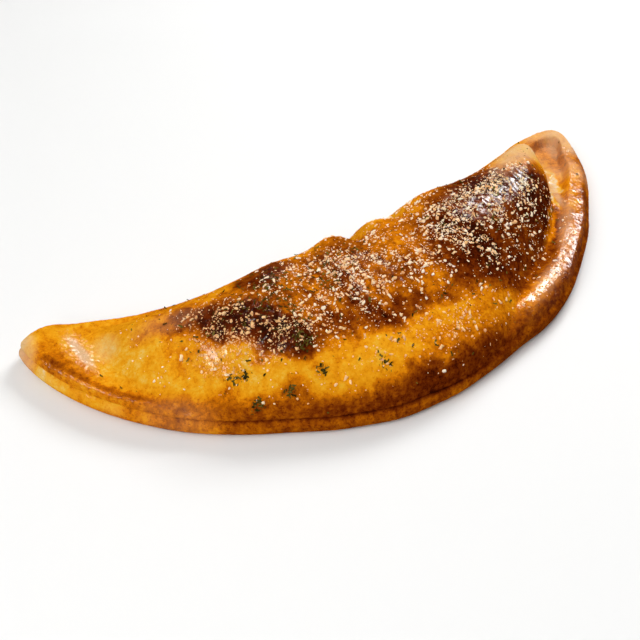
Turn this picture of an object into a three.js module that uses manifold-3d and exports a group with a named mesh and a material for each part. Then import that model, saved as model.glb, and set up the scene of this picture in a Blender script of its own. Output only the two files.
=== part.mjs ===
// A calzone: one disc of dough folded over its filling into a long crescent, baked brown, and
// dusted with grated hard cheese and dried herbs. It is one closed solid.
//
// Millimetres, +Z up, resting on its flat underside at Z = 0. +X runs from the left tip to the
// right tip. The round edge, where the two layers of dough are sealed, faces -Y and the fold
// faces +Y. The origin is under the middle of the bounding box.
//
// The surface is a stack of rings. Each ring goes once round the crescent, from the left tip
// along the sealed edge to the right tip and back along the fold. The first ring is a line in the
// middle of the underside, the next ones climb the side, and the rest run inwards over the top to
// the last one, a line along the crown. A place round a ring is an angle, 0 to 2 pi, and "reach"
// is the distance forward, towards -Y, of the line that joins the tips.

import * as THREE from "three";
import { MeshSurfaceSampler } from "three/addons/math/MeshSurfaceSampler.js";
import { mergeVertices } from "three/addons/utils/BufferGeometryUtils.js";
import Module from "manifold-3d";

// ---------------------------------------------------------------- driving dimensions, mm

const LENGTH = 360; // tip to tip
const SEALED_REACH = 143.5; // furthest reach of the sealed edge
const SEALED_CURVE = 0.615; // exponent of its curve: 0.5 is half an ellipse, 1 a parabola
const TIP_REACH = { left: 8, right: 4 };
const TIP_CORNER = { left: 6.5, right: 11.5 }; // depth of each tip's rounding, on the fold side
const TIP_SQUARENESS = 24; // exponent of that rounding
const FOLD_BOW = 23.5; // how far the folded edge bows forward between the tips
const EDGE_WANDER = 0.4; // unevenness of the outline

// Where an edge lies further forward than its curve, or further back.
const SEALED_BULGES = [
  { x: -90, width: 26, forward: -2.4 },
  { x: -30, width: 24, forward: 1.5 },
  { x: 46, width: 26, forward: -2.5 },
  { x: 124, width: 26, forward: -3.6 },
  { x: 152, width: 16, forward: -4 },
];
const FOLDED_BULGES = [
  { x: -162, width: 10, forward: -3 },
  { x: -103, width: 16, forward: -2.6 },
];

const SIDE_HEIGHT = 12; // of the side, up to where the top begins
const SIDE_INSET = 2.5; // of the top's rim from the outline
const DOME_HEIGHT = { left: 26, middle: 39, right: 43 }; // of the crown above the table

const CROWN_HALF = 158; // half length of the crown line, which stops short of the tips
const CROWN_SHARE = 0.42; // its place between the folded edge and the sealed edge
const SURFACE_WAVE = 0.5; // gentle unevenness of the baked top

const SHOULDER = 11.5; // width of the rounded outer edge of the top
const FLAP = { lift: 3.2, hollow: 1.2, narrower: 3, foot: 2 }; // flat flap at the left tip
const RIDGE = { inset: 3.6, width: 2, height: 1.3 }; // pinched ridge in front of the flap
// The rolled rim at the right: its width, how far it stands up, the crease inside it and how
// wide that is, how much rounder the dough's edge is, and how much slimmer the rim is halfway.
const RIM = { width: 21, lift: 8, crease: 3.5, hollow: 6, wider: 3, slimmer: 1 };
const RIM_LEAN = 0.36; // share of the rim's lift that it gains on the ribbon leaning outwards
const RIBBON_START = 0.24; // where that ribbon begins, from the edge to the shoulder
const DIMPLE = { depth: 5.5, narrower: 2.5 }; // hollow in the right tip, inside the rim

// Where the dome closes off before each tip: a line across the crescent, and how far inside it
// the dome is at its full height. "aslant" turns the line as a share of reach to X.
const DOME_LEFT_END = { x: -154, run: 42 };
const DOME_RIGHT_END = { x: 149, reach: 6, aslant: 0.355, run: 32 };

// Where each feature of the edge fades in, from the first X to the second.
const FADE = {
  groove: [-30, 45], // the seal's groove fades out here, towards the right
  grooveTip: [150, 176], // and runs on round each tip, by the distance from the middle
  roll: [-10, 60], // the full round side
  rim: [30, 86],
  crease: [62, 112],
  dimple: [138, 168],
  rimBack: [118, 150], // the rim on the folded side
  flap: [-105, -140],
  flapBack: [-150, -172],
  ridge: [-177, -166],
  ridgeEnd: [-148, -112],
};

// The side's profile where the layers are sealed, and where the dough is only folded over:
// inset from the outline and height. The sealed side has the lip of the lower layer, a groove
// over it, and the edge of the upper layer.
const SEALED_SIDE = [
  [7, 0],
  [3.2, 0.5],
  [1, 2.2],
  [0, 4.6],
  [0.5, 7],
  [1.9, 8.7],
  [3.1, 9.8],
  [2.5, 10.9],
  [SIDE_INSET, SIDE_HEIGHT],
];
const FOLDED_SIDE = [
  [7, 0],
  [3.4, 0.5],
  [1.5, 2.2],
  [0.5, 4.8],
  [0.1, 7.2],
  [0.1, 9],
  [0.5, 10],
  [1.2, 11],
  [SIDE_INSET, SIDE_HEIGHT],
];

// Blisters and dents of the top: where they are, their half lengths along their own axis and
// across it, how far that axis is turned from +X, and their height.
const BLISTERS = [
  { x: 72, reach: 55, along: 46, across: 30, turn: 0, height: 3 },
  { x: -78, reach: 74, along: 30, across: 22, turn: 12, height: 3.5 },
  { x: -110, reach: 46, along: 30, across: 13, turn: 18, height: 3.4 },
  { x: -62, reach: 98, along: 14, across: 9, turn: 10, height: 3.5 },
  { x: -90, reach: 86, along: 14, across: 8, turn: 10, height: 1.5 },
  { x: -34, reach: 66, along: 9, across: 26, turn: 8, height: -2.5 },
  { x: -4, reach: 66, along: 7, across: 30, turn: 10, height: -1.6 },
  { x: 9, reach: 70, along: 7, across: 26, turn: 12, height: 1.2 },
  { x: 27, reach: 64, along: 8, across: 30, turn: 6, height: -1.8 },
  { x: 14, reach: 92, along: 34, across: 10, turn: 10, height: 2 },
  { x: -40, reach: 36, along: 18, across: 14, turn: 0, height: 2.5 },
  { x: -11, reach: 34, along: 9, across: 13, turn: 0, height: 4.5 },
  { x: 6, reach: 30, along: 5.5, across: 18, turn: 0, height: -8.5 },
  { x: 18, reach: 32, along: 7, across: 12, turn: 0, height: 1.5 },
  { x: 31, reach: 32, along: 5, across: 13, turn: 0, height: -3.5 },
  { x: 52, reach: 30, along: 16, across: 13, turn: 0, height: 4 },
  { x: 80, reach: 26, along: 20, across: 13, turn: 0, height: 5 },
  { x: 118, reach: 50, along: 12, across: 20, turn: -12, height: 2 },
  { x: 135, reach: 53, along: 18, across: 2.6, turn: 112, height: 3 },
];

// The largest crumbs of cheese and flakes of herb.
const CHEESE = { count: 145, size: [2, 3.2], spacing: 7, seed: 11 };
const HERBS = { count: 34, size: [3, 4.6], thickness: 0.8, spacing: 11, seed: 29 };
const FLAKE_CURL = 1.2; // rise of a flake's ends, in thicknesses

const STEPS_ROUND = 132; // points of a ring
const STEPS_IN = 12; // rings of the top

const HALF = LENGTH / 2;

// ---------------------------------------------------------------- small functions

const clamp = THREE.MathUtils.clamp;
const lerp = THREE.MathUtils.lerp;

// Rises smoothly from 0 to 1 as v goes from the first value to the second.
function smoothBetween(from, to, v) {
  const share = clamp((v - from) / (to - from), 0, 1);
  return share * share * (3 - 2 * share);
}

// A rounded minimum and maximum of two values, blended over a band of the given width.
function softMin(a, b, band) {
  const h = Math.max(band - Math.abs(a - b), 0) / band;
  return Math.min(a, b) - (h * h * band) / 4;
}

function softMax(a, b, band) {
  return -softMin(-a, -b, band);
}

// A bump of height 1 at the middle that fades out over about twice the given width.
function bump(v, middle, width) {
  const far = (v - middle) / width;
  return Math.exp(-far * far);
}

// A seeded source of draws from 0 to 1, the same on every run.
function drawsFrom(seed) {
  let state = seed;
  return () => {
    state = (state * 1664525 + 1013904223) % 4294967296;
    return state / 4294967296;
  };
}

// ---------------------------------------------------------------- the outline in plan

const tipReach = (u) => lerp(TIP_REACH.left, TIP_REACH.right, (u + 1) / 2);

function bulgesAt(x, bulges) {
  return bulges.reduce((sum, b) => sum + b.forward * bump(x, b.x, b.width), 0);
}

// u runs from -1 at the left tip to 1 at the right tip.
function sealedReach(u) {
  const tip = tipReach(u);
  const curve = (SEALED_REACH - tip) * Math.max(1 - u * u, 0) ** SEALED_CURVE;
  const wander = EDGE_WANDER * Math.sin(11 * u + 1) * Math.cos(23 * u) * (1 - u * u);
  return tip + curve + bulgesAt(HALF * u, SEALED_BULGES) + wander;
}

function foldedReach(u) {
  const corner = lerp(TIP_CORNER.left, TIP_CORNER.right, (u + 1) / 2);
  const rounding = Math.sqrt(Math.max(1 - Math.abs(u) ** TIP_SQUARENESS, 0));
  const bow = FOLD_BOW * smoothBetween(-0.97, -0.48, u) * (1 - smoothBetween(0.25, 1, u));
  const wander = EDGE_WANDER * Math.sin(9 * u) * Math.cos(19 * u + 1) * (1 - u * u);
  return tipReach(u) - corner * rounding + bow + bulgesAt(HALF * u, FOLDED_BULGES) + wander;
}

const onSealedSide = (angle) => angle <= Math.PI;

function outlinePoint(angle) {
  const u = -Math.cos(angle);
  return { x: HALF * u, reach: onSealedSide(angle) ? sealedReach(u) : foldedReach(u) };
}

// The crown line, which the rings of the top run in to.
function crownPoint(angle) {
  const x = -CROWN_HALF * Math.cos(angle);
  const u = x / HALF;
  return { x, reach: lerp(foldedReach(u), sealedReach(u), CROWN_SHARE) };
}

// ---------------------------------------------------------------- the edge's character

// How far each feature shows at a place round the edge, and from that the form of the top there:
// "lift" of its outer edge over the side, "lean" how far that edge is a ribbon leaning outwards
// instead of a round, "drop" of the hollow inside it, "shoulder" the width of the outer edge,
// "foot" how far in from the outline the dome starts, "blend" how softly, and "swell" the
// exponent of its rise: 0.5 is the quarter of an ellipse, and more is gentler.
function edgeTraits(angle) {
  const { x } = outlinePoint(angle);
  const sealed = onSealedSide(angle);
  const fade = (name) => smoothBetween(...FADE[name], x);
  const rimBack = fade("rimBack");
  const roll = sealed ? fade("roll") : rimBack;
  const rim = sealed ? fade("rim") : rimBack;
  const crease = sealed ? fade("crease") : rimBack;
  const dimple = crease * fade("dimple");
  const flap = sealed ? fade("flap") : fade("flapBack");
  const grooveTip = smoothBetween(...FADE.grooveTip, Math.abs(x)) * (x > 0 ? 0.2 : 1);

  const rolled = RIM.lift * roll * (1 - 0.35 * smoothBetween(130, 175, x));
  const foldLift = sealed ? 0 : 3 * smoothBetween(-125, -85, x) + smoothBetween(40, 100, x);
  const foldFoot = 6 - 3 * smoothBetween(-90, -20, x) + 8 * smoothBetween(40, 100, x);
  const slim = sealed ? RIM.slimmer * bump(x, 104, 32) : 0;
  const sealedFoot = (RIM.width - slim) * rim + FLAP.foot * flap;
  const narrower = FLAP.narrower * flap + DIMPLE.narrower * dimple;
  const gentleRight = sealed ? 0.22 * bump(x, 88, 40) : 0;
  const gentleLeft = 0.45 * (1 - smoothBetween(-158, -80, x));
  return {
    lean: crease,
    seal: sealed ? 1 - fade("groove") : grooveTip,
    ridge: sealed ? fade("ridge") * (1 - fade("ridgeEnd")) : 0,
    lift: Math.max(rolled + FLAP.lift * flap, foldLift),
    drop: RIM.crease * crease + DIMPLE.depth * dimple + FLAP.hollow * flap,
    shoulder: SHOULDER - narrower + RIM.wider * roll - slim,
    foot: SIDE_INSET + (sealed ? sealedFoot : foldFoot),
    blend: 2.5 + 4.5 * bump(x, 75, 30),
    swell: 0.5 + gentleRight + gentleLeft,
  };
}

// ---------------------------------------------------------------- the height of the top

function crownRise(x) {
  const left = (DOME_HEIGHT.left - SIDE_HEIGHT) * smoothBetween(-156, -120, x);
  const middle = (DOME_HEIGHT.middle - DOME_HEIGHT.left) * smoothBetween(-130, -70, x);
  const right = (DOME_HEIGHT.right - DOME_HEIGHT.middle) * smoothBetween(-20, 60, x);
  return left + middle + right;
}

function blisterHeight(x, reach) {
  let height = 0;
  for (const blister of BLISTERS) {
    const turn = THREE.MathUtils.degToRad(blister.turn);
    const dx = x - blister.x;
    const dr = reach - blister.reach;
    const along = (dx * Math.cos(turn) + dr * Math.sin(turn)) / blister.along;
    const across = (dr * Math.cos(turn) - dx * Math.sin(turn)) / blister.across;
    height += blister.height * Math.exp(-along * along - across * across);
  }
  return height;
}

// How far the dome has risen at a place, 0 to 1. It closes off before each tip.
function domeRise(x, reach, inset, way, traits) {
  const fromFoot = (inset - traits.foot) / Math.max(way - traits.foot, 1);
  const fromLeft = (x - DOME_LEFT_END.x) / DOME_LEFT_END.run;
  const right = DOME_RIGHT_END;
  const fromRight = (right.x - x + right.aslant * (right.reach - reach)) / right.run;
  const closeness = softMin(softMin(fromFoot, fromLeft, 0.15), fromRight, 0.45);
  return (1 - (1 - clamp(closeness, 0, 1)) ** 2) ** traits.swell;
}

// The height over the table of a point of the top, "inset" in from the outline where the way to
// the crown is "way" long.
function topHeight(x, reach, inset, way, traits) {
  const fromRim = inset - SIDE_INSET;
  const run = traits.shoulder - SIDE_INSET;
  const round = Math.sqrt(1 - (Math.max(run - fromRim, 0) / run) ** 2);
  const steep = clamp(fromRim / (RIBBON_START * run), 0, 1);
  const upright = (1 - RIM_LEAN) * Math.sqrt(1 - (1 - steep) ** 2);
  const ribbon = upright + RIM_LEAN * clamp(fromRim / run, 0, 1);
  const roundness = lerp(round, ribbon, traits.lean);
  const hollow = traits.drop * smoothBetween(0, RIM.hollow, inset - traits.shoulder);
  const ridge = RIDGE.height * traits.ridge * bump(inset, RIDGE.inset, RIDGE.width);
  const rim = traits.lift * roundness - hollow + ridge;

  const rise = domeRise(x, reach, inset, way, traits);
  const band = Math.min(traits.blend, 0.6 * fromRim) + 1e-6;
  const form = softMax(rim, crownRise(x) * rise, band);
  const baked = blisterHeight(x, reach) * Math.min(1.5 * rise, 1);
  const wave = Math.sin(x / 9 + reach / 23) + Math.sin(x / 17 - reach / 11 + 2);
  return SIDE_HEIGHT + form + baked + SURFACE_WAVE * wave * Math.min(fromRim / 6, 1);
}

// ---------------------------------------------------------------- the crust

const toPoint = ({ x, reach }, height) => new THREE.Vector3(x, -reach, height);

// The length of the way in from the outline to the crown line.
function wayIn(angle) {
  const edge = outlinePoint(angle);
  const crown = crownPoint(angle);
  return Math.hypot(crown.x - edge.x, crown.reach - edge.reach);
}

// The place on that way, "inset" in from the outline.
function placeIn(angle, inset) {
  const edge = outlinePoint(angle);
  const crown = crownPoint(angle);
  const share = inset / wayIn(angle);
  return { x: lerp(edge.x, crown.x, share), reach: lerp(edge.reach, crown.reach, share) };
}

// A point of the side, on the given step of its profile.
function sidePoint(angle, step) {
  const { seal } = edgeTraits(angle);
  const inset = lerp(FOLDED_SIDE[step][0], SEALED_SIDE[step][0], seal);
  const height = lerp(FOLDED_SIDE[step][1], SEALED_SIDE[step][1], seal);
  return toPoint(placeIn(angle, inset), height);
}

function heightIn(angle, inset) {
  const { x, reach } = placeIn(angle, inset);
  return topHeight(x, reach, inset, wayIn(angle), edgeTraits(angle));
}

// A point of the top: "share" is 0 at the rim and 1 at the crown line, where the sealed side and
// the folded side meet at the mean of their heights.
function topPoint(angle, share) {
  const opposite = 2 * Math.PI - angle;
  const inset = lerp(SIDE_INSET, wayIn(angle), share);
  const own = heightIn(angle, wayIn(angle));
  const mean = (own + heightIn(opposite, wayIn(opposite))) / 2;
  const meeting = (mean - own) * smoothBetween(0.35, 1, share);
  return toPoint(placeIn(angle, inset), heightIn(angle, inset) + meeting);
}

// One ring: the point that the rule gives at each step round. The steps back along the fold reach
// the crown line at the same points as the steps out along the seal.
function ring(rule) {
  const points = [];
  for (let step = 0; step < STEPS_ROUND; step++) {
    points.push(rule((2 * Math.PI * step) / STEPS_ROUND));
  }
  return points;
}

function crustGeometry() {
  const rings = [ring((angle) => toPoint(crownPoint(angle), 0))];
  for (let step = 0; step < SEALED_SIDE.length; step++) {
    rings.push(ring((angle) => sidePoint(angle, step)));
  }
  for (let step = 1; step <= STEPS_IN; step++) {
    const share = (step / STEPS_IN) ** 1.5;
    rings.push(ring((angle) => topPoint(angle, share)));
  }

  const positions = rings.flat().flatMap((point) => [point.x, point.y, point.z]);
  const triangles = [];
  for (let row = 0; row + 1 < rings.length; row++) {
    for (let step = 0; step < STEPS_ROUND; step++) {
      const next = (step + 1) % STEPS_ROUND;
      const a = row * STEPS_ROUND + step;
      const b = row * STEPS_ROUND + next;
      const c = (row + 1) * STEPS_ROUND + next;
      const d = (row + 1) * STEPS_ROUND + step;
      triangles.push(a, b, c, a, c, d);
    }
  }
  const geometry = new THREE.BufferGeometry();
  geometry.setAttribute("position", new THREE.Float32BufferAttribute(positions, 3));
  geometry.setIndex(triangles);
  return geometry;
}

// ---------------------------------------------------------------- cheese and herbs

// How thickly each lies at a point of the crust, 0 to 1. The side and the underside are bare.
const onTop = (z) => smoothBetween(SIDE_HEIGHT, SIDE_HEIGHT + 6, z);

function cheeseCover({ x, y, z }) {
  const along = smoothBetween(-120, -10, x) * (1 - smoothBetween(128, 158, x));
  const across = 1 - smoothBetween(70, 128, -y);
  return (0.08 + 0.92 * along * across) * onTop(z);
}

function herbCover({ x, y, z }) {
  const spread = bump(x, -40, 75) * (1 - smoothBetween(85, 135, -y));
  return (0.12 + 0.88 * spread) * onTop(z);
}

// Places strewn over the crust by the cover rule, no two nearer than the spacing.
function strewnPlaces({ count, spacing, seed }, crust, cover) {
  const positions = crust.getAttribute("position");
  const point = new THREE.Vector3();
  const covers = [];
  for (let i = 0; i < positions.count; i++) {
    covers.push(cover(point.fromBufferAttribute(positions, i)));
  }
  crust.setAttribute("cover", new THREE.Float32BufferAttribute(covers, 1));
  const sampler = new MeshSurfaceSampler(new THREE.Mesh(crust));
  sampler.setWeightAttribute("cover").setRandomGenerator(drawsFrom(seed)).build();

  const places = [];
  for (let attempt = 0; attempt < 40 * count && places.length < count; attempt++) {
    const place = { point: new THREE.Vector3(), normal: new THREE.Vector3() };
    sampler.sample(place.point, place.normal);
    if (places.every((other) => other.point.distanceTo(place.point) > spacing)) {
      places.push(place);
    }
  }
  return places;
}

// An uneven crumb about 1 mm across, before it is scaled.
function crumbGeometry(draw) {
  const geometry = new THREE.BoxGeometry(1, 1, 1);
  geometry.deleteAttribute("normal");
  geometry.deleteAttribute("uv");
  const crumb = mergeVertices(geometry, 1e-4);
  const positions = crumb.getAttribute("position");
  const corner = new THREE.Vector3();
  for (let i = 0; i < positions.count; i++) {
    corner.fromBufferAttribute(positions, i).multiplyScalar(lerp(0.62, 1, draw()));
    positions.setXYZ(i, ...corner);
  }
  return crumb;
}

// A dried flake of leaf, its two ends curled up, before it is scaled.
function flakeGeometry() {
  const geometry = new THREE.CylinderGeometry(0.5, 0.5, 1, 6, 1);
  geometry.deleteAttribute("normal");
  geometry.deleteAttribute("uv");
  geometry.rotateX(Math.PI / 2);
  const flake = mergeVertices(geometry, 1e-4);
  const positions = flake.getAttribute("position");
  for (let i = 0; i < positions.count; i++) {
    positions.setZ(i, positions.getZ(i) + FLAKE_CURL * positions.getX(i) ** 2);
  }
  return flake;
}

// Turns a piece at random about the surface's normal, sizes it, and sets it half sunk there.
function settle(geometry, { point, normal }, size, draw) {
  const spin = new THREE.Quaternion().setFromAxisAngle(normal, 2 * Math.PI * draw());
  const up = new THREE.Quaternion().setFromUnitVectors(new THREE.Vector3(0, 0, 1), normal);
  const place = point.clone().addScaledVector(normal, 0.15 * size.z);
  geometry.applyMatrix4(new THREE.Matrix4().compose(place, spin.multiply(up), size));
  return geometry;
}

function cheeseCrumbs(crust) {
  const draw = drawsFrom(CHEESE.seed + 1);
  return strewnPlaces(CHEESE, crust, cheeseCover).map((place) => {
    const length = lerp(...CHEESE.size, draw());
    const width = length * lerp(0.65, 0.95, draw());
    const height = length * lerp(0.6, 0.8, draw());
    return settle(crumbGeometry(draw), place, new THREE.Vector3(length, width, height), draw);
  });
}

function herbFlakes(crust) {
  const draw = drawsFrom(HERBS.seed + 1);
  return strewnPlaces(HERBS, crust, herbCover).map((place) => {
    const length = lerp(...HERBS.size, draw());
    const width = length * lerp(0.45, 0.65, draw());
    return settle(flakeGeometry(), place, new THREE.Vector3(length, width, HERBS.thickness), draw);
  });
}

// ---------------------------------------------------------------- joining

const wasm = await Module();
wasm.setup();

function solidOf(geometry) {
  const bare = new THREE.BufferGeometry();
  bare.setAttribute("position", geometry.getAttribute("position"));
  bare.setIndex(geometry.index);
  const merged = mergeVertices(bare, 1e-4);
  const vertProperties = merged.getAttribute("position").array;
  const triVerts = new Uint32Array(merged.index.array);
  return new wasm.Manifold(new wasm.Mesh({ numProp: 3, vertProperties, triVerts }));
}

function geometryOf(solid) {
  const mesh = solid.getMesh();
  const geometry = new THREE.BufferGeometry();
  geometry.setAttribute("position", new THREE.BufferAttribute(mesh.vertProperties, 3));
  geometry.setIndex(new THREE.BufferAttribute(mesh.triVerts, 1));
  return geometry;
}

function dustedCalzone() {
  const crust = crustGeometry();
  let solid = solidOf(crust);
  for (const piece of [...cheeseCrumbs(crust), ...herbFlakes(crust)]) {
    solid = solid.add(solidOf(piece));
  }
  const geometry = geometryOf(solid);
  geometry.computeBoundingBox();
  const middle = geometry.boundingBox.getCenter(new THREE.Vector3());
  geometry.translate(-middle.x, -middle.y, 0);
  geometry.computeVertexNormals();
  return geometry;
}

// ---------------------------------------------------------------- the scene graph

const bakedCrust = new THREE.MeshStandardMaterial({
  color: 0xc8791a,
  roughness: 0.5,
  metalness: 0,
});

const calzone = new THREE.Mesh(dustedCalzone(), bakedCrust);
calzone.name = "calzone";

const group = new THREE.Group();
group.add(calzone);

export default group;
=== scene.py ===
"""A baked calzone: a crescent of folded dough, dusted with grated hard cheese and dried herbs.

Laid out as a Blender add-on and run as a script. Each piece has an operator, and the operators
run in order: the crust is rolled out, folded and baked, then cheese and herbs are strewn on it,
and the stage is set. Sizes are in metres in the settings. The forms of the crust are written in
millimetres, on the axes that the dough is folded on: x runs from the left tip to the right tip,
and "reach" is how far forward of the line between the tips a place lies.
"""

import math

import bpy
import numpy as np
from mathutils import Matrix, Vector


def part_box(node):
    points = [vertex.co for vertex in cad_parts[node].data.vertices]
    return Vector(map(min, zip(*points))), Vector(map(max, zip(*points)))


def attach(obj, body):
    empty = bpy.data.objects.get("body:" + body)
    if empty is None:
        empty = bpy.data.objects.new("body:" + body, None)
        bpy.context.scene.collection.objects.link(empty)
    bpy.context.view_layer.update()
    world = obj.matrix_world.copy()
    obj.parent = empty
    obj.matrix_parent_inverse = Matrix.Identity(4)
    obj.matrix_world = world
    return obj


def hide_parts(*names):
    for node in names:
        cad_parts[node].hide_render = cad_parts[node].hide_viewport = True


bl_info = {
    "name": "Calzone",
    "version": (1, 0, 0),
    "blender": (4, 5, 0),
    "location": "View3D > Sidebar > Calzone",
    "description": "Makes a baked calzone with grated cheese and dried herbs",
    "category": "Add Mesh",
}

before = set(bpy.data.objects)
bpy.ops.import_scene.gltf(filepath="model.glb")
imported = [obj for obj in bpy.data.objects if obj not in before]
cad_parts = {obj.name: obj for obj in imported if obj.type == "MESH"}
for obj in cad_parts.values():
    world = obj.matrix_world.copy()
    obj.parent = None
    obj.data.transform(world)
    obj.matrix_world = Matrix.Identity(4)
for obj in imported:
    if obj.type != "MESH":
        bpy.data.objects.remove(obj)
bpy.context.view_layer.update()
NODE = "calzone"
NODE_LOW, NODE_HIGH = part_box(NODE)
MM = 0.001


def linear(hex_colour):
    """An sRGB hex colour as linear red, green and blue."""
    parts = [int(hex_colour[i : i + 2], 16) / 255 for i in (1, 3, 5)]
    return [p / 12.92 if p <= 0.04045 else ((p + 0.055) / 1.055) ** 2.4 for p in parts]


# ------------------------------------------------------------------ settings

# Kinds of settings: the property that holds one, and its unit, subtype or limit.
SETTING_KINDS = {
    "length": (bpy.props.FloatProperty, {"unit": "LENGTH"}),
    "power": (bpy.props.FloatProperty, {"unit": "POWER"}),
    "colour": (bpy.props.FloatVectorProperty, {"subtype": "COLOR"}),
    "count": (bpy.props.IntProperty, {"min": 1}),
    "number": (bpy.props.FloatProperty, {}),
}


def setting(kind, name, description, default, **limits):
    """A setting that a user may change, with its name, its description and its default."""
    prop, details = SETTING_KINDS[kind]
    return prop(name=name, description=description, default=default, **{**details, **limits})


class CalzoneCrustSettings(bpy.types.PropertyGroup):
    """Sizes and colours of the baked dough"""

    length: setting("length", "Length", "From tip to tip", NODE_HIGH.x - NODE_LOW.x, min=0.1)
    sealed_reach: setting(
        "length", "Sealed reach",
        "Furthest reach of the sealed edge in front of the tips", 143.5 * MM,
    )
    fold_bow: setting(
        "length", "Fold bow", "How far the folded edge bows forward between the tips", 23.5 * MM
    )
    side_height: setting(
        "length", "Side height", "Height at which the side ends and the top begins", 12 * MM
    )
    steps_round: setting(
        "count", "Steps round", "Points of the dough sheet round the edge", 1120, min=60
    )
    steps_in: setting(
        "count", "Steps in", "Points of the dough sheet from the rim to the crown", 58, min=8
    )
    bubble_height: setting(
        "length", "Bubble height", "Height of the small bubbles that the oven raises", 1.1 * MM
    )
    pale: setting(
        "colour", "Pale dough",
        "Colour where the oven has hardly browned the dough", linear("#e3ceab"),
    )
    golden: setting("colour", "Golden dough", "Colour of the golden flanks", linear("#dc8d0f"))
    brown: setting("colour", "Brown dough", "Colour of the well browned top", linear("#7e3706"))
    charred: setting(
        "colour", "Darkest dough", "Colour of the darkest blisters", linear("#250a03")
    )


class CalzoneCheeseSettings(bpy.types.PropertyGroup):
    """Size, number and colour of the grated cheese"""

    crumbs: setting("count", "Crumbs", "Number of crumbs of cheese", 1900)
    shreds: setting("count", "Shreds", "Number of short shreds of cheese", 900)
    crumb_size: setting("length", "Crumb size", "Length of the largest crumbs", 2.6 * MM)
    dust: setting("count", "Dust", "Number of specks of cheese dust", 4400)
    colour: setting("colour", "Cheese", "Colour of the cheese", linear("#ffdcb0"))
    seed: setting("count", "Seed", "Seed of the scatter", 11)


class CalzoneHerbSettings(bpy.types.PropertyGroup):
    """Size, number and colour of the dried herbs"""

    flakes: setting("count", "Flakes", "Number of flakes of dried herb", 760)
    flake_size: setting("length", "Flake size", "Length of the largest flakes", 2.6 * MM)
    colour: setting("colour", "Herb", "Colour of the dried leaves", linear("#57491a"))
    seed: setting("count", "Seed", "Seed of the scatter", 29)


class CalzoneStageSettings(bpy.types.PropertyGroup):
    """Floor and light"""

    floor: setting("colour", "Floor", "Colour of the pale floor", linear("#e9e9e8"))
    floor_size: setting("length", "Floor size", "Side of the square floor", 6.0)
    key_power: setting("power", "Key light", "Power of the softbox behind the right tip", 12.5)
    gleam: setting(
        "number", "Gleam", "Strength of the softboxes that show only in the film of oil", 1.0
    )
    fill_power: setting(
        "power", "Fill light", "Power of the high softbox in front of the left tip", 17.8
    )
    top_power: setting("power", "Top light", "Power of the large softbox overhead", 6.8)
    sky: setting("number", "Sky", "Strength of the even white light from all round", 0.062)


# ------------------------------------------------------------------ the form of the dough, mm

SEALED_CURVE = 0.615  # exponent of the sealed edge's curve
TIP_REACH = {"left": 8, "right": 4}
TIP_CORNER = {"left": 6.5, "right": 11.5}
TIP_SQUARENESS = 24

# How both edges wander: its size, and for each edge the counts and shifts of its two waves.
EDGE_WANDER = 0.4
EDGE_WAVES = {"sealed": (11, 1, 23, 0), "folded": (9, 0, 19, 1)}

# Where an edge lies further forward than its curve, or further back: x, width, forward.
SEALED_BULGES = [(-90, 26, -2.4), (-30, 24, 1.5), (46, 26, -2.5), (124, 26, -3.6), (152, 16, -4)]
FOLDED_BULGES = [(-162, 10, -3), (-103, 16, -2.6)]

SIDE_INSET = 2.5
DOME_HEIGHT = {"left": 26, "middle": 39, "right": 43}
DOME_LEFT_END = {"x": -154, "run": 42, "blend": 0.15}
DOME_RIGHT_END = {"x": 149, "reach": 6, "aslant": 0.355, "run": 32, "blend": 0.45}
SWELL = {"least": 0.5, "right": 0.22, "left": 0.45}  # exponents: higher rises more gently
CROWN_HALF = 158
CROWN_SHARE = 0.42

# Slow waves over the top: their height, how far in they reach it, their lengths and their shift.
WAVES = {"height": 0.5, "run": 6, "lengths": (9, 23, 17, 11), "shift": 2}

SHOULDER = 11.5
FLAP = {"lift": 3.2, "hollow": 1.2, "narrower": 3, "foot": 2}
RIDGE = {"inset": 3.6, "width": 1.5, "height": 1.3, "oiled": 0.9}
RIM = {"width": 21, "lift": 8, "crease": 3.5, "wider": 3, "slimmer": 1, "hollow": 6, "lower": 0.35}
RIM_LEAN = 0.36  # share of the rim's lift that it gains on the ribbon that leans outwards
RIBBON_START = 0.24  # where the ribbon begins, as a share of the way from the edge to the shoulder
DIMPLE = {"depth": 5.5, "narrower": 2.5}
FOLD = {"lift": 3, "foot": 6, "narrower": 3, "wider": 8}
GROOVE_RIGHT = 0.2  # how much of the groove is left round the right tip
BLEND = {"least": 2.5, "more": 4.5, "most": 0.6}  # how softly the dome runs into the rim
BAKED_GAIN = 1.5  # how soon the blisters reach their full height as the dome rises
TINY = 1e-6

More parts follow.
